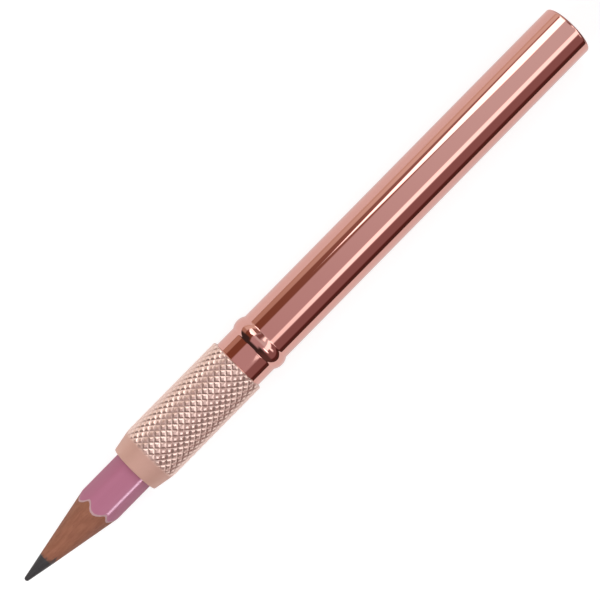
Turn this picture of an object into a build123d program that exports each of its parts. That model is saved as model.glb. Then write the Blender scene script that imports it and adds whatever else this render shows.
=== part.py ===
from build123d import *
from math import atan, cos, radians, sin, tan
import os

os.makedirs("parts", exist_ok=True)

# Pencil extender lying on its side with a sharpened pencil clamped in its mouth.
# Millimetres. Stations along the axis count from the front of the clamp ring, positive
# towards the closed tail of the barrel, which is +X. The floor is Z = 0.

# Pencil
pencil_flats = 7.25  # across opposite faces, over the lacquer
pencil_edge_radius = 2.1  # rounding of the six long edges
pencil_length = 75.0
pencil_reach = 26.5  # lead point ahead of the clamp ring
pencil_sides = 6
pencil_roll = 3.0  # turn of the top face towards -Y, in degrees
point_angle = 22.2  # whole angle of the sharpened cone, in degrees
point_radius = 0.45  # worn tip of the lead
lead_diameter = 2.7
lacquer_thickness = 0.14
glue_line = 0.02  # between the lead and the wood

# Collet, split from the front into four jaws
grip_clearance = 0.05  # jaws to the pencil's edges
collet_wall = 0.27  # plain sleeve at the tail
collet_taper_rise = 0.16  # extra radius at the thick end of the jaws
collet_taper_length = 8.0
collet_tail_length = 5.0
collet_flange_height = 0.15  # flange above the thick end of the jaws
collet_flange_length = 1.3
collet_slit_count = 4
collet_slit_width = 0.6
collet_slit_margin = 1.0  # slits run on past the taper by this much

# Threaded ferrule, pressed into the mouth of the barrel
slide_clearance = 0.04  # collet to ferrule
ferrule_wall = 0.38  # between the bore and the thread root
ferrule_front_gap = 0.5  # ring lip to ferrule, room left for tightening
ferrule_seat_gap = 0.5  # collet tail to its shoulder
ferrule_nose_length = 6.6  # plain nose ahead of the thread
ferrule_flange_length = 0.6
ferrule_shank_length = 10.5
ferrule_shank_wall = 0.47
guide_clearance = 0.15  # pencil's edges to the shank's bore

# Screw thread between ferrule and clamp ring, right-hand
thread_pitch = 0.75
thread_depth = 0.25
thread_flank = 30.0  # from square to the axis, in degrees
thread_clearance = 0.05  # crest to root
thread_side_clearance = 0.06  # flank to flank, along the axis
thread_overlap = 0.05  # ridge sunk into its core
ferrule_thread_turns = 8
ring_thread_turns = 7

# Clamp ring
skirt_length = 9.7  # behind the thread, over the neck of the barrel
ring_wall = 0.49  # skirt's thickness
skirt_clearance = 0.08  # skirt to neck
nose_clearance = 0.17  # pencil's edges to the nose opening
nose_rim = 0.72  # flat front face, from the opening outwards
nose_cone_length = 4.0
nose_wall = 1.0  # thickness ahead of the collet's flange
lip_length = 0.5  # lip that draws the collet out again
lip_clearance = 0.05  # collet flange in its pocket
nose_edge_radius = 0.12
skirt_edge_radius = 0.4
edge_limit = 0.8  # most of a wall that its rounded edge may take up

# Barrel, a thin tube with a closed tail and a rolled bead
extender_length = 105.6  # front of the clamp ring to the tail
barrel_wall = 0.45
neck_length = 3.7  # between the clamp ring and the bead
bead_length = 3.2
bead_height = 0.46
bead_foot_radius = 0.5  # hollow where the bead leaves the tube
tail_edge_radius = 0.5

# Radii, from the pencil outwards
edge_reach = (pencil_flats / 2 - pencil_edge_radius) / cos(radians(180 / pencil_sides))
pencil_corner = edge_reach + pencil_edge_radius
lead_radius = lead_diameter / 2
collet_bore = pencil_corner + grip_clearance
collet_tail = collet_bore + collet_wall
collet_jaw = collet_tail + collet_taper_rise
collet_flange = collet_jaw + collet_flange_height
ferrule_bore = collet_tail + slide_clearance
ferrule_root = ferrule_bore + ferrule_wall
ferrule_crest = ferrule_root + thread_depth
shank_bore = pencil_corner + guide_clearance
shank = shank_bore + ferrule_shank_wall
barrel_radius = shank + barrel_wall
ring_bore = ferrule_root + thread_clearance
ring_root = ferrule_crest + thread_clearance
skirt_bore = max(barrel_radius, ring_root) + skirt_clearance
ring_radius = skirt_bore + ring_wall
nose_bore = pencil_corner + nose_clearance
nose_radius = nose_bore + nose_rim
pocket_bore = collet_flange + lip_clearance
lip_bore = collet_tail + lip_clearance

# Stations along the axis
collet_front = nose_wall + lip_clearance
collet_flange_end = collet_front + collet_flange_length
lip_front = collet_flange_end + lip_clearance
lip_end = lip_front + lip_length
taper_front = lip_end + lip_clearance
taper_end = taper_front + collet_taper_length
collet_end = taper_end + collet_tail_length
slit_end = taper_end + collet_slit_margin
ferrule_front = lip_end + ferrule_front_gap
counterbore_end = collet_end + ferrule_seat_gap
ferrule_thread_start = ferrule_front + ferrule_nose_length
ferrule_thread_length = ferrule_thread_turns * thread_pitch
ring_thread_start = ferrule_thread_start - thread_pitch / 2
ring_thread_length = ring_thread_turns * thread_pitch
ring_groove_start = ring_thread_start - thread_pitch / 2
ring_groove_end = ring_thread_start + ring_thread_length + thread_pitch / 2
ring_length = ring_groove_end + skirt_length
bead_front = ring_length + neck_length
bead_middle = bead_front + bead_length / 2
bead_rear = bead_front + bead_length
flange_start = max(ferrule_thread_start + ferrule_thread_length + thread_pitch, counterbore_end)
barrel_front = flange_start + ferrule_flange_length
shank_end = barrel_front + ferrule_shank_length
pencil_tail = pencil_length - pencil_reach

# Half angle of the sharpened cone, and where it meets the rounded lead point
point_slope = radians(point_angle / 2)
point_centre = point_radius - pencil_reach
point_touch = (point_centre - point_radius * sin(point_slope), point_radius * cos(point_slope))
cone_end = point_touch[0] + (pencil_corner + nose_clearance - point_touch[1]) / tan(point_slope)

# The whole thing is centred over the origin and rests on the clamp ring
nose_x = (pencil_reach - extender_length) / 2
axis_height = ring_radius
long_axis = Axis((nose_x, 0, axis_height), (1, 0, 0))
profile_plane = Plane(origin=(nose_x, 0, axis_height), x_dir=(1, 0, 0), z_dir=(0, -1, 0))


def cross_plane(station):
    return Plane(origin=(nose_x + station, 0, axis_height), x_dir=(0, 1, 0), z_dir=(1, 0, 0))


def thread_section(start, root, crest):
    # Trapezoid tooth standing on the radius root and ending at crest, its foot sunk into the core
    middle_width = thread_pitch / 2 - thread_side_clearance
    slope = tan(radians(thread_flank))
    rise = 1 if crest > root else -1
    foot = root - rise * thread_overlap
    middle = (root + crest) / 2
    foot_half = middle_width / 2 + abs(middle - foot) * slope
    crest_half = middle_width / 2 - abs(crest - middle) * slope
    with BuildSketch(profile_plane) as tooth:
        with BuildLine():
            Polyline(
                (start - foot_half, foot),
                (start + foot_half, foot),
                (start + crest_half, crest),
                (start - crest_half, crest),
                close=True,
            )
        make_face()
    return tooth.sketch


def thread_path(start, length, radius):
    # Right-hand helix about the long axis that starts above it, in the profile plane
    with BuildLine() as path:
        Helix(thread_pitch, length, radius, center=(nose_x + start, 0, axis_height), direction=(1, 0, 0))
    return path.line


# Barrel: the outer line from mouth to tail, thickened inwards by the wall
bead_crown = (bead_middle, barrel_radius + bead_height)
bead_slope = 2 * atan(2 * bead_height / bead_length)  # steepest part of its flanks
foot_length = bead_foot_radius * sin(bead_slope)
foot_top = barrel_radius + bead_foot_radius * (1 - cos(bead_slope))
bead_rise = (bead_front + foot_length, foot_top)
bead_fall = (bead_rear - foot_length, foot_top)
tail_flat = barrel_radius - tail_edge_radius
with BuildPart() as barrel:
    with BuildSketch(profile_plane):
        with BuildLine():
            Line((barrel_front, barrel_radius), (bead_front, barrel_radius))
            front_foot = TangentArc((bead_front, barrel_radius), bead_rise, tangent=(1, 0))
            TangentArc(bead_rise, bead_crown, tangent=front_foot % 1)
            rear_crown = TangentArc(bead_crown, bead_fall, tangent=(1, 0))
            TangentArc(bead_fall, (bead_rear, barrel_radius), tangent=rear_crown % 1)
            tube = Line((bead_rear, barrel_radius), (extender_length - tail_edge_radius, barrel_radius))
            TangentArc(tube @ 1, (extender_length, tail_flat), tangent=(1, 0))
            Line((extender_length, tail_flat), (extender_length, 0))
            offset(amount=barrel_wall, side=Side.RIGHT)
        make_face()
    revolve(axis=long_axis)

# Threaded ferrule: tapered mouth for the collet, screw thread, flange and shank
mouth = ferrule_bore + collet_taper_rise * (taper_end - ferrule_front) / collet_taper_length
with BuildPart() as threaded_ferrule:
    with BuildSketch(profile_plane):
        with BuildLine():
            Polyline(
                (ferrule_front, mouth),
                (ferrule_front, ferrule_root),
                (flange_start, ferrule_root),
                (flange_start, barrel_radius),
                (barrel_front, barrel_radius),
                (barrel_front, shank),
                (shank_end, shank),
                (shank_end, shank_bore),
                (counterbore_end, shank_bore),
                (counterbore_end, ferrule_bore),
                (taper_end, ferrule_bore),
                close=True,
            )
        make_face()
    revolve(axis=long_axis)
    sweep(
        thread_section(ferrule_thread_start, ferrule_root, ferrule_crest),
        path=thread_path(ferrule_thread_start, ferrule_thread_length, ferrule_root),
        is_frenet=True,
    )

# Collet: flange held in the ring's pocket, tapered jaws, plain tail sleeve
with BuildPart() as collet:
    with BuildSketch(profile_plane):
        with BuildLine():
            Polyline(
                (collet_front, collet_bore),
                (collet_front, collet_flange),
                (collet_flange_end, collet_flange),
                (collet_flange_end, collet_tail),
                (taper_front, collet_tail),
                (taper_front, collet_jaw),
                (taper_end, collet_tail),
                (collet_end, collet_tail),
                (collet_end, collet_bore),
                close=True,
            )
        make_face()
    revolve(axis=long_axis)
    for step in range(collet_slit_count // 2):
        turn = radians((step + 0.5) * 360 / collet_slit_count)
        slit_plane = Plane(
            origin=(nose_x + collet_front, 0, axis_height),
            x_dir=(1, 0, 0),
            z_dir=(0, cos(turn), sin(turn)),
        )
        with BuildSketch(slit_plane):
            SlotOverall(2 * (slit_end - collet_front), collet_slit_width)
        extrude(amount=collet_flange, both=True, mode=Mode.SUBTRACT)

# Clamp ring: nose cone and grip outside, pocket, lip, thread and skirt inside
with BuildPart() as clamp_ring:
    with BuildSketch(profile_plane):
        with BuildLine():
            Polyline(
                (0, nose_bore),
                (0, nose_radius),
                (nose_cone_length, ring_radius),
                (ring_length, ring_radius),
                (ring_length, skirt_bore),
                (ring_groove_end, skirt_bore),
                (ring_groove_end, ring_root),
                (ring_groove_start, ring_root),
                (ring_groove_start, ring_bore),
                (lip_end, ring_bore),
                (lip_end, lip_bore),
                (lip_front, lip_bore),
                (lip_front, pocket_bore),
                (nose_wall, pocket_bore),
                (nose_wall, nose_bore),
                close=True,
            )
        make_face()
        fillet(vertices().sort_by_distance((0, nose_radius))[0], nose_edge_radius)
        fillet(vertices().sort_by_distance((0, nose_bore))[0], nose_edge_radius)
        skirt_edge = min(skirt_edge_radius, ring_wall * edge_limit)
        fillet(vertices().sort_by_distance((ring_length, ring_radius))[0], skirt_edge)
    revolve(axis=long_axis)
    sweep(
        thread_section(ring_thread_start, ring_root, ring_bore),
        path=thread_path(ring_thread_start, ring_thread_length, ring_root),
        is_frenet=True,
    )

# Space left inside the sharpener's cut: rounded point, cone, then clear of the pencil's edges
with BuildPart() as sharpened_form:
    with BuildSketch(profile_plane):
        with BuildLine():
            TangentArc((-pencil_reach, 0), point_touch, tangent=(0, 1))
            Polyline(
                point_touch,
                (cone_end, pencil_corner + nose_clearance),
                (pencil_tail, pencil_corner + nose_clearance),
                (pencil_tail, 0),
                (-pencil_reach, 0),
            )
        make_face()
    revolve(axis=long_axis)


def pencil_outline(inset):
    # Outline across the pencil, set in from its outer faces, with its edges rounded to suit
    with BuildSketch(cross_plane(-pencil_reach)) as outline:
        RegularPolygon(pencil_flats / 2 - inset, pencil_sides, major_radius=False, rotation=pencil_roll)
        fillet(outline.vertices(), pencil_edge_radius - inset)
    return outline.sketch


# Wood of the pencil before it is parted along its glue line
with BuildPart() as pencil_wood:
    extrude(pencil_outline(lacquer_thickness), amount=pencil_length)
    with BuildSketch(cross_plane(-pencil_reach)):
        Circle(lead_radius + glue_line)
    extrude(amount=pencil_length, mode=Mode.SUBTRACT)
    add(sharpened_form.part, mode=Mode.INTERSECT)

# The wood is two slats glued together along a plane through two opposite edges
glue_plane = Plane(
    origin=(nose_x, 0, axis_height),
    x_dir=(1, 0, 0),
    z_dir=(0, -sin(radians(pencil_roll)), cos(radians(pencil_roll))),
)
with BuildPart() as upper_slat:
    add(pencil_wood.part)
    split(bisect_by=glue_plane, keep=Keep.TOP)
with BuildPart() as lower_slat:
    add(pencil_wood.part)
    split(bisect_by=glue_plane, keep=Keep.BOTTOM)

# Lead: a round rod with the sharpened point
with BuildPart() as pencil_lead:
    with BuildSketch(cross_plane(-pencil_reach)):
        Circle(lead_radius)
    extrude(amount=pencil_length)
    add(sharpened_form.part, mode=Mode.INTERSECT)

# Lacquer: a thin coat over the wood, cut back to a scalloped edge by the sharpening
with BuildPart() as lacquer_coat:
    extrude(pencil_outline(0), amount=pencil_length)
    extrude(pencil_outline(lacquer_thickness), amount=pencil_length, mode=Mode.SUBTRACT)
    add(sharpened_form.part, mode=Mode.INTERSECT)

pieces = {
    "barrel": barrel,
    "threaded_ferrule": threaded_ferrule,
    "collet": collet,
    "clamp_ring": clamp_ring,
    "upper_slat": upper_slat,
    "lower_slat": lower_slat,
    "pencil_lead": pencil_lead,
    "lacquer_coat": lacquer_coat,
}
for name, piece in pieces.items():
    piece.part.label = name
    export_step(piece.part, f"parts/{name}.step")
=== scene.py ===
from math import atan2, cos, degrees, pi, radians, sin, sqrt, tan

import bmesh
import bpy
import numpy as np
from mathutils import Matrix, Vector


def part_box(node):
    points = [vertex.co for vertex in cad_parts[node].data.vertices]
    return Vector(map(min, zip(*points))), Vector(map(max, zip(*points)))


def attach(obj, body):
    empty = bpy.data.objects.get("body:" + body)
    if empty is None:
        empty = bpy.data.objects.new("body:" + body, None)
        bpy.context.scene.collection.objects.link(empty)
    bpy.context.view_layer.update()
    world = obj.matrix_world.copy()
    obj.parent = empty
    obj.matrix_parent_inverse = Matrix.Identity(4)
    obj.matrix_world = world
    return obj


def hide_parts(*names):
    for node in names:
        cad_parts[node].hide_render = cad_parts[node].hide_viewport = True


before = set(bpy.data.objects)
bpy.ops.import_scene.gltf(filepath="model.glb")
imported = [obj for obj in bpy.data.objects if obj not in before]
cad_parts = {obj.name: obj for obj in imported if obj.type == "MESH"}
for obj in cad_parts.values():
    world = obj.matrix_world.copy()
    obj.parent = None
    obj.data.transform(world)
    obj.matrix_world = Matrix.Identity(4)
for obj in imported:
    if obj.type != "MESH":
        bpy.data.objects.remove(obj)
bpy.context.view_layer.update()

mm = 0.001
ringLow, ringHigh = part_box("clamp_ring")
noseX = ringLow.x  # front of the clamp ring, every station counts from here
axisZ = (ringLow.z + ringHigh.z) / 2
print("frame loaded, nose at", round(noseX, 5), "axis at", round(axisZ, 5))


class Val:
    # a socket that adds Math nodes when it is used in an expression
    def __init__(self, sheet, socket):
        self.sheet, self.socket = sheet, socket

    def at(self, name):
        return Val(self.sheet, self.socket.node.outputs[name])

    def __add__(self, other):
        return self.sheet.maths("ADD", self, other)

    def __radd__(self, other):
        return self.sheet.maths("ADD", other, self)

    def __sub__(self, other):
        return self.sheet.maths("SUBTRACT", self, other)

    def __rsub__(self, other):
        return self.sheet.maths("SUBTRACT", other, self)

    def __mul__(self, other):
        return self.sheet.maths("MULTIPLY", self, other)

    def __rmul__(self, other):
        return self.sheet.maths("MULTIPLY", other, self)

    def __neg__(self):
        return self.sheet.maths("MULTIPLY", self, -1)


class Sheet:
    # the nodes of one material or of the world
    def __init__(self, owner):
        owner.use_nodes = True
        self.tree = owner.node_tree
        self.tree.nodes.clear()

    def node(self, kind, settings=None, inputs=None):
        made = self.tree.nodes.new(kind)
        for key, value in (settings or {}).items():
            setattr(made, key, value)
        for key, value in (inputs or {}).items():
            socket = made.inputs[key]
            if isinstance(value, Val):
                self.tree.links.new(value.socket, socket)
            elif isinstance(value, (tuple, list)) and socket.type == "RGBA":
                socket.default_value = (*value[:3], 1)
            else:
                socket.default_value = value
        shown = [o for o in made.outputs if o.enabled]
        return Val(self, shown[0]) if shown else None

    def maths(self, operation, a, b=0.0):
        return self.node("ShaderNodeMath", {"operation": operation}, {0: a, 1: b})

    def least(self, a, b):
        return self.maths("MINIMUM", a, b)

    def most(self, a, b):
        return self.maths("MAXIMUM", a, b)

    def mix(self, factor, a, b):
        return self.node("ShaderNodeMix", {"data_type": "RGBA"}, {0: factor, 6: a, 7: b})

    def blend(self, factor, a, b):
        return self.node("ShaderNodeMixShader", {}, {0: factor, 1: a, 2: b})

    def rise(self, value, low, high):
        return self.node("ShaderNodeMapRange", {"interpolation_type": "SMOOTHSTEP"},
                         {0: value, 1: low, 2: high, 3: 0.0, 4: 1.0})

    def between(self, value, low, high, soft):
        return self.rise(value, low - soft, low + soft) * (1 - self.rise(value, high - soft, high + soft))

    def place(self):
        return self.node("ShaderNodeTexCoord").at("Object")

    def stretched(self, scale):
        return self.node("ShaderNodeVectorMath", {"operation": "MULTIPLY"}, {0: self.place(), 1: scale})

    def noise(self, scale, detail):
        # even in all directions for one number, stretched for three
        vector, size = (self.stretched(scale), 1.0) if isinstance(scale, tuple) else (self.place(), scale)
        return self.node("ShaderNodeTexNoise", {}, {"Vector": vector, "Scale": size, "Detail": detail,
                                                    "Roughness": 0.55})

    def bump(self, height, strength, distance):
        return self.node("ShaderNodeBump", {}, {"Height": height, "Strength": strength, "Distance": distance})

    def diffuse(self, colour):
        return self.node("ShaderNodeBsdfDiffuse", {}, {"Color": colour})

    def surface(self, **inputs):
        named = {key.replace("_", " "): value for key, value in inputs.items()}
        shader = self.node("ShaderNodeBsdfPrincipled", {}, named)
        self.node("ShaderNodeOutputMaterial", {}, {"Surface": shader})


def finish(name):
    made = bpy.data.materials.new(name)
    return made, Sheet(made)


def solid(name, points, faces, sharpAngle):
    # a mesh from points in millimetres along and round the axis: station, y, z
    mesh = bpy.data.meshes.new(name)
    points = np.asarray(points, float) * mm + np.array([noseX, 0, axisZ])
    mesh.from_pydata(points.tolist(), [], faces)
    bm = bmesh.new()
    bm.from_mesh(mesh)
    bmesh.ops.recalc_face_normals(bm, faces=bm.faces)
    bm.to_mesh(mesh)
    bm.free()
    mesh.shade_smooth()
    mesh.set_sharp_from_angle(angle=radians(sharpAngle))
    piece = bpy.data.objects.new(name, mesh)
    bpy.context.scene.collection.objects.link(piece)
    return piece


def turned(line, around):
    # points and faces of a closed line of (station, radius) revolved round the axis
    points, rows = [], []
    for station, radius in line:
        first = len(points)
        if radius < 1e-6:
            points.append((station, 0.0, 0.0))
            rows.append([first])
            continue
        for j in range(around):
            turn = 2 * pi * j / around
            points.append((station, radius * sin(turn), radius * cos(turn)))
        rows.append(list(range(first, first + around)))
    faces = []
    for a, b in zip(rows, rows[1:] + rows[:1]):
        if len(a) == 1 and len(b) == 1:
            continue
        for j in range(around):
            k = (j + 1) % around
            corners = [a[j % len(a)], a[k % len(a)], b[k % len(b)], b[j % len(b)]]
            faces.append(list(dict.fromkeys(corners)))
    return points, faces


def arc(centre, radius, start, end, steps):
    # points of a round edge, angles in degrees from the station axis
    turns = np.radians(np.linspace(start, end, steps + 1))
    return [(centre[0] + radius * cos(t), centre[1] + radius * sin(t)) for t in turns]


def dress(piece, material, body, slotName, *nodes):
    piece.data.materials.append(material)
    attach(piece, body)
    if nodes:
        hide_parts(*nodes)


# Barrel: drawn tube with a rolled bead and a closed tail
barrel = {
    "front": 17.35, "radius": 4.93092, "wall": 0.45, "mouthEdge": 0.05,
    "beadFront": 28.65, "beadLength": 3.2, "beadHeight": 0.46, "footRadius": 0.5,
    "tail": 105.6, "tailEdge": 0.5, "innerEdge": 0.3,
    "around": 256, "footSteps": 10, "crownSteps": 40, "edgeSteps": 12, "plainRows": 14,
    "holdNear": 0.12, "holdFar": 1.0, "plainFrom": 6.0, "plainShort": 0.3,  # loops beside the bead and the tail
    "faceHold": 0.15, "faceLoop": 2.0, "boreLoop": 60.0,
    "colour": (0.75, 0.405, 0.352), "hazeColour": (0.72, 0.385, 0.34), "roughness": 0.014,
}


def barrelLine(b):
    half, rise, foot, r = b["beadLength"] / 2, b["beadHeight"], b["footRadius"], b["radius"]
    slope = 2 * atan2(rise, half)  # steepest part of the bead's flank
    crown, lean = half / sin(slope) - foot, degrees(slope)
    middle = b["beadFront"] + half
    rear, tail, edge = middle + half, b["tail"], b["tailEdge"]
    line = [(b["front"] + b["mouthEdge"], r), (b["beadFront"] - b["holdNear"], r)]
    line += arc((b["beadFront"], r + foot), foot, -90, -90 + lean, b["footSteps"])
    line += arc((middle, r + rise - crown), crown, 90 + lean, 90 - lean, b["crownSteps"])[1:]
    line += arc((rear, r + foot), foot, 270 - lean, 270, b["footSteps"])[1:]
    line += [(rear + b["holdNear"], r), (rear + b["holdFar"], r)]
    line += [(s, r) for s in np.linspace(rear + b["plainFrom"], tail - edge - b["plainShort"], b["plainRows"])]
    line += arc((tail - edge, r - edge), edge, 90, 0, b["edgeSteps"])
    line += [(tail, r - edge - b["faceHold"]), (tail, b["faceLoop"]), (tail, 0)]
    inner, end, bend = r - b["wall"], tail - b["wall"], b["innerEdge"]
    line += [(end, 0), (end, inner - bend), (end - bend, inner)]
    line += [(b["boreLoop"], inner), (b["front"], inner), (b["front"], r - b["mouthEdge"])]
    return line


brightRose, sheet = finish("brightRose")
drawn = sheet.noise((60, 1900, 1900), 4.0)  # fine lines left along the tube by drawing
haze = sheet.noise(260.0, 3.0)
wave = sheet.noise((420, 900, 900), 2.0)  # slight unevenness of the polish
sheet.surface(
    Base_Color=sheet.mix(haze * 0.5, barrel["colour"], barrel["hazeColour"]),
    Metallic=1.0,
    Roughness=barrel["roughness"] + 0.012 * drawn + 0.008 * haze,
    Normal=sheet.bump(0.6 * wave + 0.25 * drawn, 0.003, 0.0004),
)
barrelTube = solid("barrelTube", *turned(barrelLine(barrel), barrel["around"]), sharpAngle=40)
dress(barrelTube, brightRose, "barrel", "bright_rose_metal", "barrel")
print("barrel made,", len(barrelTube.data.vertices), "points")

# Clamp ring: plain nose cone, then a diamond knurl back to the rear edge
ring = {
    "length": 24.95, "radius": 5.50092, "noseRadius": 4.75092, "noseBore": 4.03092, "coneLength": 4.0,
    "noseEdge": 0.12, "rearEdge": 0.39, "skirtBore": 5.01092, "skirtEdge": 0.06, "lip": 4.23092,
    "threadBore": 4.65092, "threadRoot": 4.90092, "pocket": 4.54092,
    "pocketFront": 1.0, "lipFront": 2.4, "lipRear": 2.9, "threadFront": 9.25, "skirtFront": 15.25,  # stations inside
    "boreLoop": 0.5, "rimLoop": 0.2, "rearLoop": 0.02, "coneFrom": 0.05, "coneShort": 0.1, "coneRows": 9,
    "leastStep": 0.03,
    "starts": 24, "period": 1.42, "depth": 0.135, "flat": 0.42, "fine": 8, "knurlFrom": 2.6,
    "knurlShift": 0.355, "knurlTurn": 6.5625, "leftHand": 0.9,  # the left-hand grooves came out shallower
    # the groove colour is darker than the crest colour: painted shade in the knurl's grooves
    "crestColour": (0.95, 0.73, 0.645), "grooveColour": (0.78, 0.57, 0.50),
    "noseColour": (0.69, 0.43, 0.35), "noseCloud": (0.72, 0.455, 0.375),
    "metallic": 0.30, "knurlMetallic": 0.55, "roughness": 0.45, "knurlPolish": 0.19,
}


def grooves(station, turn, k):
    # depth of the two hands of groove at a place, 1 at the bottom of a groove and 0 on a crest
    def cut(phase):
        away = np.abs(phase - np.round(phase)) * 2
        return np.clip(1 - away / (1 - k["flat"]), 0, 1)
    along = (station - k["knurlShift"]) / k["period"]
    around = k["starts"] * (turn + radians(k["knurlTurn"])) / (2 * pi)
    return cut(along + around), k["leftHand"] * cut(along - around)


def ringMesh(k):
    around = k["starts"] * 2 * k["fine"]
    turns = np.arange(around) * 2 * pi / around
    step = k["period"] / (2 * k["fine"])
    first = int(np.ceil(k["knurlFrom"] / step))
    slope = (k["radius"] - k["noseRadius"]) / k["coneLength"]
    lean = degrees(atan2(slope, 1))
    cone = lambda s: k["noseRadius"] + slope * s
    edge, rear, length = k["noseEdge"], k["rearEdge"], k["length"]
    inside = [(length, k["radius"] - rear - k["rearLoop"]), (length, k["skirtBore"] + k["skirtEdge"]),
              (length - k["skirtEdge"], k["skirtBore"]), (k["skirtFront"], k["skirtBore"]),
              (k["skirtFront"], k["threadRoot"]), (k["threadFront"], k["threadRoot"]),
              (k["threadFront"], k["threadBore"]), (k["lipRear"], k["threadBore"]),
              (k["lipRear"], k["lip"]), (k["lipFront"], k["lip"])]
    front = [(k["lipFront"], k["pocket"]), (k["pocketFront"], k["pocket"]),
             (k["pocketFront"], k["noseBore"]), (k["boreLoop"], k["noseBore"])]
    front += arc((edge, k["noseBore"] + edge), edge, 270, 180, 5)
    front += [(0, k["noseRadius"] - edge - k["rimLoop"])]
    front += arc((edge, k["noseRadius"] - edge), edge, 180, 90 + lean, 6)[:-1]
    cones = np.linspace(edge + k["coneFrom"], first * step - k["coneShort"], k["coneRows"])
    front += [(s, cone(s)) for s in cones]
    points, rows, mark, cut = [], [], [], []

    def plainRows(line):
        for s, r in line:
            rows.append(len(points))
            points.extend((s, r * sin(t), r * cos(t)) for t in turns)
            mark.extend([0.0] * around)
            cut.extend([0.0] * around)

    plainRows(front)
    stations = np.arange(first, int(length / step) + 1) * step
    stations = np.append(stations[stations < length - k["leastStep"]], length)
    for s in stations:
        deep = np.maximum(*grooves(s, turns, k)) * k["depth"]
        left = length - s
        outer = min(cone(s), k["radius"])
        if left < rear:
            outer = k["radius"] - rear + sqrt(max(rear ** 2 - (rear - left) ** 2, 0))
        r = np.minimum(outer, k["radius"] - deep)
        rows.append(len(points))
        points += list(zip([s] * around, r * np.sin(turns), r * np.cos(turns)))
        mark += list(np.clip((k["radius"] - r) / k["depth"], 0, 1) * (cone(s) > k["radius"] - deep))
        cut += list(np.clip((cone(s) - k["radius"] + k["depth"]) / k["depth"], 0, 1) + 0 * r)
    plainRows(inside)
    faces = []
    knurlRows = range(len(front), len(front) + len(stations) - 1)
    for i in range(len(rows)):
        top, low = rows[i], rows[(i + 1) % len(rows)]
        for j in range(around):
            n = (j + 1) % around
            a, b, c, d = top + j, top + n, low + n, low + j
            if i not in knurlRows:
                faces.append([a, b, c, d])
                continue
            # each square is split along the groove that runs through it
            one, two = grooves(points[a][0] + step / 2, turns[j] + pi / around, k)
            faces += [[a, b, d], [b, c, d]] if one > two else [[a, b, c], [a, c, d]]
    return points, faces, mark, cut


points, faces, mark, cut = ringMesh(ring)
clampRing = solid("clampRing", points, faces, sharpAngle=14)
for name, values in (("groove", mark), ("knurled", cut)):
    layer = clampRing.data.attributes.new(name, "FLOAT", "POINT")
    layer.data.foreach_set("value", np.array(values, np.float32))

satinRose, sheet = finish("satinRose")
groove = sheet.node("ShaderNodeAttribute", {"attribute_name": "groove"}).at("Fac")
knurled = sheet.node("ShaderNodeAttribute", {"attribute_name": "knurled"}).at("Fac")
turning = sheet.noise((5200, 160, 160), 3.0)  # marks left by the lathe, round the axis
blast = sheet.noise(5200.0, 2.0)
cloud = sheet.noise(420.0, 3.0)
# the knurl's base colour darkens towards the groove bottoms: painted shade in the grooves
grooveShade = sheet.mix(groove, ring["crestColour"], ring["grooveColour"])
nose = sheet.mix(cloud, ring["noseColour"], ring["noseCloud"])
sheet.surface(
    Base_Color=sheet.mix(knurled, nose, grooveShade),
    Metallic=ring["metallic"] + ring["knurlMetallic"] * knurled,
    Roughness=ring["roughness"] - ring["knurlPolish"] * knurled + 0.06 * cloud,
    Normal=sheet.bump(0.5 * turning + 0.5 * blast, 0.12, 0.00006),
)
dress(clampRing, satinRose, "ring", "satin_rose_metal", "clamp_ring")
print("clamp ring made,", len(clampRing.data.polygons), "faces")

# Pencil: lead, two slats, pale undercoat and pink lacquer, all cut by one sharpener's cone
pencil = {
    "flats": 7.25, "corner": 3.86092, "crown": 9.5, "roll": 3.0, "reach": 26.5, "length": 75.0,
    "halfAngle": 11.1, "tip": 0.45, "lead": 1.35, "glue": 0.02, "lacquer": 0.05, "undercoat": 0.075,
    "lean": 0.42,  # the sharpener sat askew, so its cut ends later on top
    "dip": 1.0, "dipTurn": -75.0, "dipWidth": 26.0,  # one face is cut further back
    "chip": 0.05, "chipSeed": 3,  # unevenness of the cut edge
    "soft": 0.012, "edgeLoops": (0.05, 0.12), "tailSoft": 0.1, "tailStep": 0.02, "thinEdge": 0.004,
    "supports": (-5.0, 5.0, 25.0), "innerLoop": 20.0,  # stations of plain loops
    "around": 360, "slatSteps": 180, "coneRows": 33, "leadAround": 96, "leadRows": 24, "tipSteps": 10,
    "leadShort": 0.03, "slatShort": 0.02,
    "pink": (0.445, 0.172, 0.262), "pinkFlow": (0.485, 0.197, 0.29), "gloss": 0.32,
    "pale": (0.43, 0.28, 0.29), "paleChalk": (0.58, 0.39, 0.41),
    "woodDark": (0.265, 0.105, 0.062), "woodLight": (0.335, 0.140, 0.085),
    "woodPatch": (0.30, 0.130, 0.068), "woodPore": (0.17, 0.07, 0.045), "smear": (0.055, 0.05, 0.048),
    "leadDark": (0.045, 0.046, 0.048), "leadLight": (0.080, 0.082, 0.085),
}
pencil["tail"] = pencil["length"] - pencil["reach"]
pencilSlope = tan(radians(pencil["halfAngle"]))
tipCentre = pencil["tip"] - pencil["reach"]
apex = tipCentre - pencil["tip"] / sin(radians(pencil["halfAngle"]))


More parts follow.
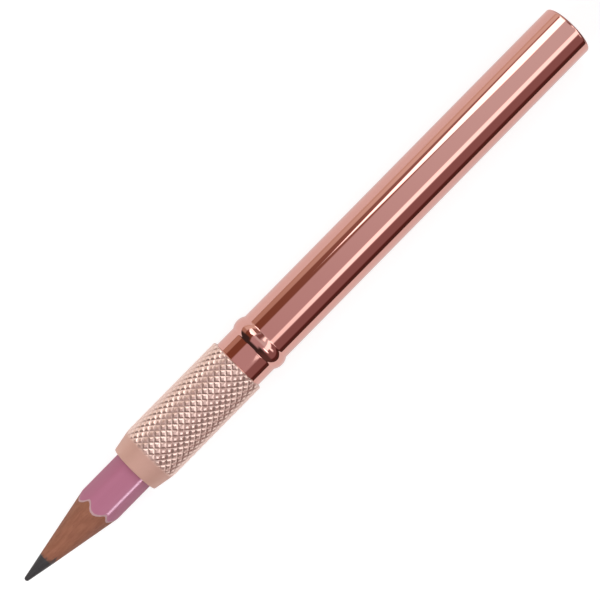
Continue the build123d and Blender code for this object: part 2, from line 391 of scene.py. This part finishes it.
def acrossPencil(turn, inset):
    # radius of the pencil's crowned and round-edged section, set in from its outer face
    flat, corner, crown = pencil["flats"] / 2, pencil["corner"], pencil["crown"]
    back, lean = crown - flat, cos(radians(30))
    edge = ((crown ** 2 - corner ** 2 - 2 * back * lean * corner - back ** 2)
            / (2 * crown - 2 * corner - 2 * back * lean))
    reach = corner - edge
    meet = atan2(reach * 0.5, reach * lean + back)
    meet = atan2(crown * sin(meet), crown * cos(meet) - back)
    off = np.abs((np.degrees(turn) + pencil["roll"] + 30) % 60 - 30)
    psi, delta = np.radians(off), np.radians(30 - off)
    face = -back * np.cos(psi) + np.sqrt((crown - inset) ** 2 - (back * np.sin(psi)) ** 2)
    bend = reach * np.cos(delta) + np.sqrt(np.maximum((edge - inset) ** 2 - (reach * np.sin(delta)) ** 2, 0))
    return np.where(psi < meet, face, bend)


def cutAt(radius):
    return apex + radius / pencilSlope  # station where the sharpener's cone reaches a radius


def askew(turn):
    # how much further back the cut ends at a turn round the pencil
    off = (np.degrees(turn) - pencil["dipTurn"] + 180) % 360 - 180
    return pencil["lean"] * np.cos(turn) + pencil["dip"] * np.exp(-(off / pencil["dipWidth"]) ** 2)


def wobble(turn, amount, seed):
    # slow uneven line round the pencil, as a blade leaves it
    draw = np.random.default_rng(seed)
    line = sum(draw.normal() / (1 + n / 9) * np.sin(n * turn + draw.uniform(0, 2 * pi)) for n in range(5, 40))
    return amount * line / np.abs(line).max()


def coat(name, outer, inner):
    # a skin between two insets that ends on the cone in front and square at the tail
    turns = np.arange(pencil["around"]) * 2 * pi / pencil["around"]
    chip = wobble(turns, pencil["chip"], pencil["chipSeed"]) + askew(turns)
    rOut, rIn = acrossPencil(turns, outer), acrossPencil(turns, inner)
    soft, tail, level = pencil["soft"], pencil["tail"], 0 * turns
    loops = [(cutAt(rIn) + chip, rIn), (cutAt(rOut - soft) + chip, rOut - soft)]
    loops += [(cutAt(rOut) + back + chip, rOut) for back in pencil["edgeLoops"]]
    loops += [(station + level, rOut) for station in pencil["supports"]]
    loops += [(tail - pencil["tailSoft"] + level, rOut), (tail + level, rOut - pencil["tailStep"]),
              (tail + level, rIn), (pencil["innerLoop"] + level, rIn)]
    n = len(turns)
    points = [p for s, r in loops for p in zip(s, r * np.sin(turns), r * np.cos(turns))]
    faces = []
    for i in range(len(loops)):
        for j in range(n):
            a, b = i * n, (i + 1) % len(loops) * n
            faces.append([a + j, a + (j + 1) % n, b + (j + 1) % n, b + j])
    return solid(name, points, faces, sharpAngle=35)


def slat(name, start):
    # half of the wood: outer face on the cone and under the coat, flat on the glue plane, hollow for the lead
    turns = np.radians(start) + np.linspace(0, pi, pencil["slatSteps"] + 1)
    wood = acrossPencil(turns, pencil["lacquer"] + pencil["undercoat"])
    bore = pencil["lead"] + pencil["glue"]
    thin = bore + pencil["thinEdge"]
    edge, begin = cutAt(wood) + askew(turns), cutAt(thin)
    loops = []
    for share in np.linspace(0, 1, pencil["coneRows"]):
        loops.append((begin + share * (edge - begin), thin + share * (wood - bore - pencil["thinEdge"])))
    for s in (*pencil["supports"], pencil["tail"] - pencil["slatShort"]):
        loops.append((s + 0 * turns, wood))
    n = len(turns)
    points, faces = [], []
    for s, r in loops:
        points += zip(s, r * np.sin(turns), r * np.cos(turns))
        points += zip(s[::-1], bore * np.sin(turns[::-1]), bore * np.cos(turns[::-1]))
    for i in range(len(loops) - 1):
        for j in range(2 * n):
            k = (j + 1) % (2 * n)
            a, b = i * 2 * n, (i + 1) * 2 * n
            faces.append([a + j, a + k, b + k, b + j])
    for base in (0, (len(loops) - 1) * 2 * n):
        faces += [[base + j, base + j + 1, base + 2 * n - 2 - j, base + 2 * n - 1 - j] for j in range(n - 1)]
    return solid(name, points, faces, sharpAngle=35)


def leadLine():
    touch = 90 + pencil["halfAngle"]
    line = arc((tipCentre, 0), pencil["tip"], 180, touch, pencil["tipSteps"])
    line[0] = (line[0][0], 0)
    cone = np.linspace(line[-1][0], cutAt(pencil["lead"]), pencil["leadRows"])[1:]
    line += [(s, (s - apex) * pencilSlope) for s in cone]
    end = pencil["tail"] - pencil["leadShort"]
    line += [(s, pencil["lead"]) for s in (pencil["supports"][0], pencil["innerLoop"], end)]
    return line + [(end, 0)]


pinkLacquer, sheet = finish("pinkLacquer")
flow = sheet.noise((90, 700, 700), 3.0)  # slow flow of the dipped coat
speck = sheet.noise(2600.0, 2.0)
sheet.surface(
    Base_Color=sheet.mix(flow, pencil["pink"], pencil["pinkFlow"]),
    Roughness=pencil["gloss"] + 0.03 * flow + 0.01 * speck,
    Specular_IOR_Level=0.12,
    Normal=sheet.bump(0.7 * flow + 0.3 * speck, 0.004, 0.0001),
)
lacquerSkin = coat("lacquerSkin", 0.0, pencil["lacquer"])
dress(lacquerSkin, pinkLacquer, "pencil", "pink_lacquer", "lacquer_coat")

paleUndercoat, sheet = finish("paleUndercoat")
chalk = sheet.noise(1800.0, 3.0)
sheet.surface(
    Base_Color=sheet.mix(chalk, pencil["pale"], pencil["paleChalk"]),
    Roughness=0.55 + 0.2 * chalk,
    Normal=sheet.bump(chalk, 0.2, 0.00008),
)
undercoat = coat("undercoat", pencil["lacquer"], pencil["lacquer"] + pencil["undercoat"])
dress(undercoat, paleUndercoat, "pencil", "pink_lacquer")

cedar, sheet = finish("cedar")
grain = sheet.noise((130, 2300, 2300), 4.0)  # long streaks along the pencil
fibre = sheet.noise((420, 9000, 9000), 2.0)
patch = sheet.noise(330.0, 2.0)
pore = sheet.rise(sheet.noise((700, 5200, 5200), 1.0), 0.63, 0.72)
tone = sheet.mix(sheet.rise(grain, 0.3, 0.7), pencil["woodDark"], pencil["woodLight"])
tone = sheet.mix(sheet.rise(patch, 0.35, 0.7) * 0.35, tone, pencil["woodPatch"])
tone = sheet.mix(pore * 0.4, tone, pencil["woodPore"])
way = sheet.node("ShaderNodeSeparateXYZ", {}, {0: sheet.place()})
bared = noseX / mm + cutAt(pencil["lead"])  # where the lead comes out of the wood
smear = (way * 1000 - bared) + way.at("Y") * 260  # graphite rubbed into the wood, further back on the -Y side
streak = sheet.between(way.at("Y") * 1000, -1.30, -0.95, 0.12)  # one darker line of it
smear = 1 - sheet.rise(smear - 2.6 * (grain - 0.5) - 0.8 * (patch - 0.5) - 0.9 * streak, 0.0, 0.9)
sheet.surface(
    Base_Color=sheet.mix(smear * 0.85, tone, pencil["smear"]),
    Roughness=0.62 - 0.12 * smear + 0.12 * fibre,
    Normal=sheet.bump(0.6 * fibre + 0.4 * grain, 0.35, 0.00006),
)
upperSlat = slat("upperSlat", -90 - pencil["roll"])
dress(upperSlat, cedar, "pencil", "cedar", "upper_slat")
lowerSlat = slat("lowerSlat", 90 - pencil["roll"])
dress(lowerSlat, cedar, "pencil", "cedar", "lower_slat")

graphite, sheet = finish("graphite")
scrape = sheet.noise((300, 4200, 4200), 3.0)  # blade marks along the point
dust = sheet.noise(2400.0, 3.0)
sheet.surface(
    Base_Color=sheet.mix(scrape, pencil["leadDark"], pencil["leadLight"]),
    Metallic=0.25 + 0.2 * dust,
    Roughness=0.42 + 0.16 * scrape,
    Normal=sheet.bump(0.6 * scrape + 0.4 * dust, 0.3, 0.00006),
)
leadPoint = solid("leadPoint", *turned(leadLine(), pencil["leadAround"]), sharpAngle=40)
dress(leadPoint, graphite, "pencil", "graphite", "pencil_lead")
print("pencil made,", len(lacquerSkin.data.vertices) + len(upperSlat.data.vertices), "points")

# Ferrule and collet keep their turned solids and get a machined brass
brass = {"colour": (0.66, 0.46, 0.19), "tarnish": (0.50, 0.31, 0.12), "roughness": 0.24}
turnedBrass, sheet = finish("turnedBrass")
lathe = sheet.noise((9000, 120, 120), 3.0)
tarnish = sheet.noise(380.0, 4.0)
sheet.surface(
    Base_Color=sheet.mix(sheet.rise(tarnish, 0.35, 0.75), brass["colour"], brass["tarnish"]),
    Metallic=1.0,
    Roughness=brass["roughness"] + 0.14 * lathe + 0.10 * tarnish,
    Normal=sheet.bump(lathe, 0.25, 0.00005),
)
for name in ("threaded_ferrule", "collet"):
    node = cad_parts[name]
    node.data.materials.clear()
    node.data.materials.append(turnedBrass)
print("brass set on the ferrule and the collet")

# Studio: what the bright metal mirrors. side is in degrees from overhead, + towards -Y, and along is the direction's
# share towards the tail. Three numbers are low, high and softness, two are the start and end of a fade.
studio = {
    "ceiling": {"fade": (-0.05, 0.21), "near": (0.60, 0.465, 0.485), "far": (0.76, 0.74, 0.76)},
    "strip": {"side": 34, "half": 8.0, "start": -0.0258, "taper": 2600, "soft": (-2.5, 2.5),
              "cut": (-0.0262, -0.0250), "fade": (-0.02, 0.06), "near": 1.3, "far": 1.85},
    "crest": {"side": (27, 48, 7), "along": (-0.19, -0.068, 0.024), "light": 3.8},
    "rightWall": {"side": (40, 47), "colour": (0.31, 0.17, 0.17)},
    "rightFoot": {"side": (78, 84), "colour": (0.115, 0.033, 0.028)},
    "leftWall": {"side": (-37, -31), "fade": (-0.035, 0.145),
                 "near": (0.24, 0.095, 0.055), "far": (0.36, 0.22, 0.19)},
    "softbox": {"side": -46, "half": 14.0, "start": 0.03, "taper": 88, "soft": (-0.8, 1.6),
                "along": (0.047, 0.55, 0.018), "behind": (0.25, 0.33), "drop": 5, "near": 2.8, "far": 2.1},
    "leftFoot": {"side": (-68, -64), "fade": (-0.035, 0.115), "near": (0.52, 0.35, 0.27), "far": (0.84, 0.75, 0.66),
                 "line": (-86, -82, 1.5), "lineShare": 0.5, "lineColour": (0.55, 0.40, 0.28)},
    "gap": {"side": (-31, -5, 8), "fade": (0.26, 0.40), "colour": (0.25, 0.13, 0.12)},
    "back": {"light": 1.9, "boxes": [((33, 48, 6), (0.34, 0.84, 0.07)), ((38, 62, 7), (0.31, 0.48, 0.06)),
                                     ((0, 13, 5), (0.58, 0.90, 0.06))]},
    "gloom": {"fade": (0.24, 0.46), "clear": (-36, 10, 10), "deep": (0.52, 0.74), "side": (20, 60),
              "left": (0.055, 0.04, 0.036), "right": (0.12, 0.066, 0.06)},
    "endWall": {"fade": (0.93, 0.98), "colour": (0.50, 0.46, 0.46)},
}


def grey(level):
    return (level, level, level)


def sky(s):
    world = bpy.data.worlds.new("studio")
    bpy.context.scene.world = world
    sheet = Sheet(world)
    along = sheet.node("ShaderNodeSeparateXYZ", {}, {0: sheet.node("ShaderNodeTexCoord").at("Generated")})
    side = sheet.maths("ARCTAN2", -along.at("Y"), along.at("Z")) * (180 / pi)

    def halfWidth(lamp):
        # a lamp that widens along the barrel from a point
        return sheet.least(sheet.most((along - lamp["start"]) * lamp["taper"], 0.0), lamp["half"])

    def faded(zone):
        return sheet.mix(sheet.rise(along, *zone["fade"]), zone["near"], zone["far"])

    air = faded(s["ceiling"])
    strip = s["strip"]
    lit = sheet.rise(halfWidth(strip) - sheet.maths("ABSOLUTE", side - strip["side"]), *strip["soft"])
    light = sheet.mix(sheet.rise(along, *strip["fade"]), grey(strip["near"]), grey(strip["far"]))
    air = sheet.mix(lit * sheet.rise(along, *strip["cut"]), air, light)
    for name in ("rightWall", "rightFoot"):
        air = sheet.mix(sheet.rise(side, *s[name]["side"]), air, s[name]["colour"])
    crest = sheet.between(side, *s["crest"]["side"]) * sheet.between(along, *s["crest"]["along"])
    air = sheet.mix(crest, air, grey(s["crest"]["light"]))
    air = sheet.mix(1 - sheet.rise(side, *s["leftWall"]["side"]), air, faded(s["leftWall"]))

    box = s["softbox"]
    behind = sheet.rise(along, *box["behind"])  # it reaches lower behind
    away = sheet.maths("ABSOLUTE", side - box["side"] + box["drop"] * behind)
    lit = sheet.rise(halfWidth(box) + box["drop"] * behind - away, *box["soft"])
    light = sheet.mix(behind, grey(box["near"]), grey(box["far"]))
    air = sheet.mix(lit * sheet.between(along, *box["along"]), air, light)

    foot = s["leftFoot"]
    low = sheet.mix(sheet.between(side, *foot["line"]) * foot["lineShare"], faded(foot), foot["lineColour"])
    air = sheet.mix(1 - sheet.rise(side, *foot["side"]), air, low)
    gap = sheet.between(side, *s["gap"]["side"]) * sheet.rise(along, *s["gap"]["fade"])
    air = sheet.mix(gap, air, s["gap"]["colour"])
    back = 0.0
    for sides, reach in s["back"]["boxes"]:
        back = sheet.most(back, sheet.between(side, *sides) * sheet.between(along, *reach))
    air = sheet.mix(back, air, grey(s["back"]["light"]))

    dark = s["gloom"]
    gloom = sheet.rise(-along, *dark["fade"]) * (1 - sheet.between(side, *dark["clear"]))
    gloom = sheet.most(gloom, sheet.rise(-along, *dark["deep"]))
    air = sheet.mix(gloom, air, sheet.mix(sheet.rise(side, *dark["side"]), dark["left"], dark["right"]))
    air = sheet.mix(sheet.rise(along, *s["endWall"]["fade"]), air, s["endWall"]["colour"])

    mirrored = sheet.node("ShaderNodeBackground", {}, {"Color": air, "Strength": 1.0})
    plain = sheet.node("ShaderNodeBackground", {}, {"Color": (1, 1, 1), "Strength": 1.0})
    ray = sheet.node("ShaderNodeLightPath").at("Is Camera Ray")
    sheet.node("ShaderNodeOutputWorld", {}, {"Surface": sheet.blend(ray, mirrored, plain)})


# Lamps: a soft fill over the point, and one that draws the bright line on the pencil's edge
fillLamp = {"aim": -0.04, "toward": (-0.80, 0.12, 0.58), "away": 0.6, "width": 0.4, "height": 0.4, "power": 2.1}
ridgeLamp = {"aim": -0.044, "toward": (-0.13, -0.906237, 0.403483), "away": 0.5, "width": 0.06, "height": 0.24,
             "power": 8.6, "colour": (1.0, 0.79, 0.96)}


def areaLamp(name, a):
    # a soft lamp that faces a place on the axis from a direction
    lamp = bpy.data.lights.new(name, "AREA")
    lamp.shape, lamp.size, lamp.size_y, lamp.energy = "RECTANGLE", a["width"], a["height"], a["power"]
    holder = bpy.data.objects.new(name, lamp)
    out = Vector(a["toward"]).normalized()
    across = Vector((1, 0, 0)) - out * out.x
    across.normalize()
    holder.matrix_world = Matrix.Translation(Vector((a["aim"], 0, axisZ)) + out * a["away"]) @ Matrix(
        (across, out.cross(across), out)).transposed().to_4x4()
    bpy.context.scene.collection.objects.link(holder)
    return holder


def lamps():
    fill = areaLamp("fillLamp", fillLamp)
    fill.visible_glossy = False
    ridge = areaLamp("ridgeLamp", ridgeLamp)
    ridge.visible_diffuse = False
    ridge.data.color = ridgeLamp["colour"]
    lacquered = bpy.data.collections.new("lacquered")  # the ridge lamp is screened off from the metal
    lacquered.objects.link(lacquerSkin)
    ridge.light_linking.receiver_collection = lacquered


# Paper: white to the camera; in the metal it ends on the right and beyond the tail, where a dark table shows
paper = {
    "size": 4.0, "right": -0.045, "end": 0.076, "tableLength": 0.05, "tableSide": (-0.03, 0.02, 0.01), "soft": 0.003,
    "bounce": (0.78, 0.77, 0.76), "shade": (0.34, 0.35, 0.35), "glow": 0.78, "mirrored": 0.525,
    "table": (0.10, 0.05, 0.04),
}


def whiteFloor(p):
    half = p["size"] / 2
    corners = [(-half, -half, 0), (half, -half, 0), (half, half, 0), (-half, half, 0)]
    mesh = bpy.data.meshes.new("floor")
    mesh.from_pydata(corners, [], [[0, 1, 2, 3]])
    floor = bpy.data.objects.new("floor", mesh)
    bpy.context.scene.collection.objects.link(floor)
    whitePaper, sheet = finish("paper")
    path = sheet.node("ShaderNodeLightPath")
    glossy = path.at("Is Glossy Ray")
    spot = sheet.node("ShaderNodeSeparateXYZ", {}, {0: sheet.place()})
    beyond = (sheet.between(spot, p["end"], p["end"] + p["tableLength"], p["soft"])
              * sheet.between(spot.at("Y"), *p["tableSide"]))
    near = sheet.rise(spot.at("Y"), p["right"] - p["soft"], p["right"] + p["soft"]) * (1 - beyond)
    glow = sheet.node("ShaderNodeEmission", {}, {"Color": (1, 1, 1), "Strength": p["glow"]})
    shown = sheet.node("ShaderNodeAddShader", {}, {0: sheet.diffuse(p["shade"]), 1: glow})
    under = sheet.blend((1 - near) * glossy, sheet.diffuse(p["bounce"]), sheet.diffuse(p["table"]))
    seen = sheet.most(path.at("Is Camera Ray"), path.at("Is Transmission Ray"))
    seen = sheet.most(seen, p["mirrored"] * near * glossy)
    sheet.node("ShaderNodeOutputMaterial", {}, {"Surface": sheet.blend(seen, under, shown)})
    mesh.materials.append(whitePaper)


sky(studio)
lamps()
whiteFloor(paper)
print("studio lit")

# Camera almost overhead, the axis rising to the right across the picture
view = {
    "focal": 1828.0, "picture": 600, "sensor": 36.0, "near": 0.01,  # focal length and picture width in pixels
    "distance": 0.312, "tilt": 0.9, "turn": 45.42, "target": (0.000705, 0.00019, 0.0055),
}
look = Vector((sin(radians(view["tilt"])), 0, -cos(radians(view["tilt"]))))
alongPicture = (Vector((1, 0, 0)) - look * look.x).normalized()
acrossPicture = (-look).cross(alongPicture)
turn = radians(view["turn"])
right = alongPicture * cos(turn) - acrossPicture * sin(turn)
up = alongPicture * sin(turn) + acrossPicture * cos(turn)
lens = bpy.data.cameras.new("camera")
lens.sensor_width = view["sensor"]
lens.lens = view["focal"] / view["picture"] * lens.sensor_width
lens.clip_start = view["near"]
camera = bpy.data.objects.new("camera", lens)
camera.matrix_world = Matrix.Translation(Vector(view["target"]) - look * view["distance"]) @ Matrix(
    (right, up, -look)).transposed().to_4x4()
bpy.context.scene.collection.objects.link(camera)
bpy.context.scene.camera = camera
bpy.context.scene.view_settings.view_transform = "Standard"
print("camera set")
